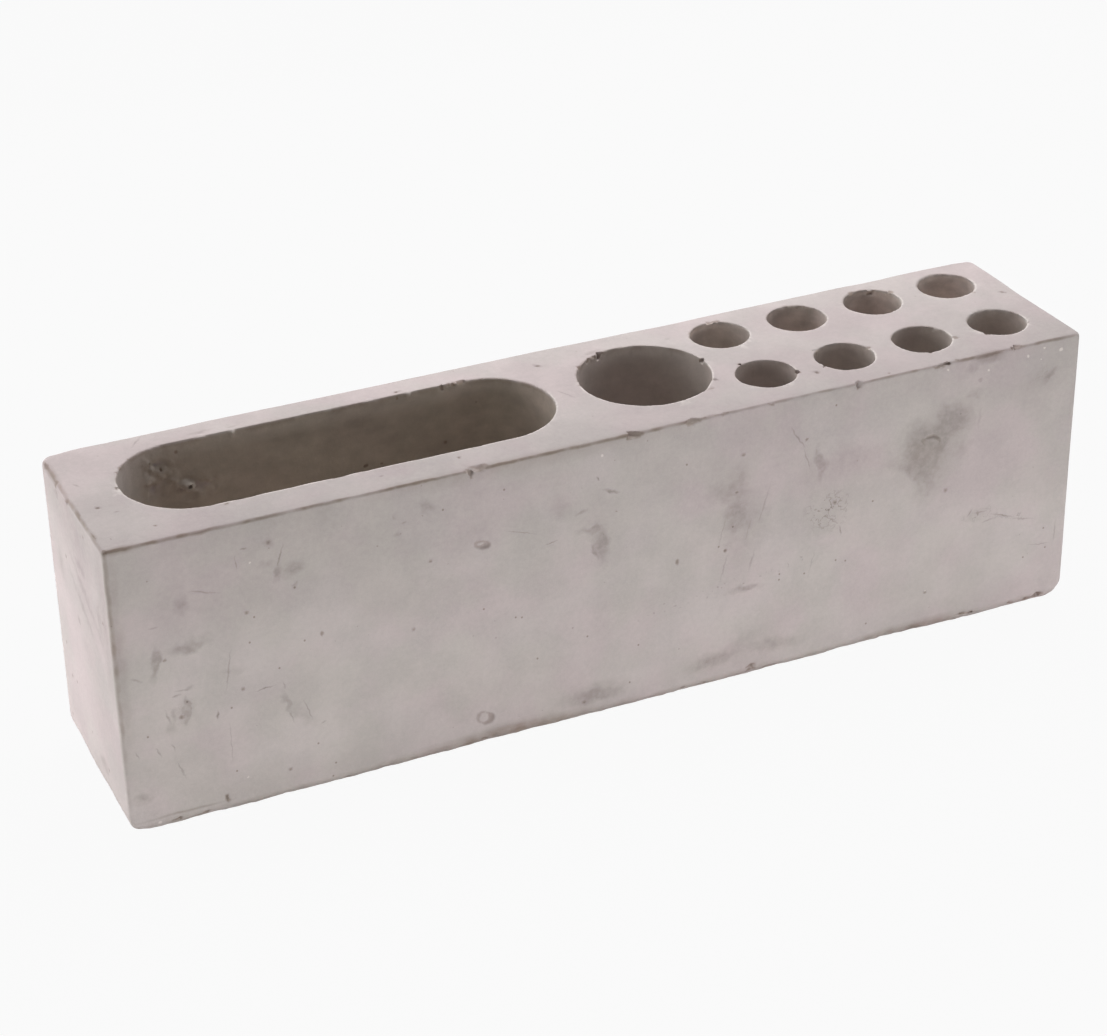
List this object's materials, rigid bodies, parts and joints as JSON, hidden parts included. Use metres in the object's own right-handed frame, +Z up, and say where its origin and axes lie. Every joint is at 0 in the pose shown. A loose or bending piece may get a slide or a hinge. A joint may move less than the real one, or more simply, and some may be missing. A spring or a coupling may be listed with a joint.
{
  "type": "concrete pen holder",
  "caption": "Heavy cast concrete desk organiser: a long round-ended slot, a wide round well and rows of narrow pen wells in one block on felt pads.",
  "frame": {"origin": "on the surface that the pads stand on, under the middle of the block", "axes": "+X along the block's length towards the pen wells, +Y from the front to the back, +Z up"},
  "size_m": [0.3, 0.06, 0.092],
  "materials": {
    "cast_concrete": "matte",
    "pad_felt": "matte"
  },
  "bodies": {
    "root": {"concrete_block": "cast_concrete", "foot_pad_front_left": "pad_felt", "foot_pad_front_right": "pad_felt", "foot_pad_rear_left": "pad_felt", "foot_pad_rear_right": "pad_felt"}
  },
  "joints": []
}
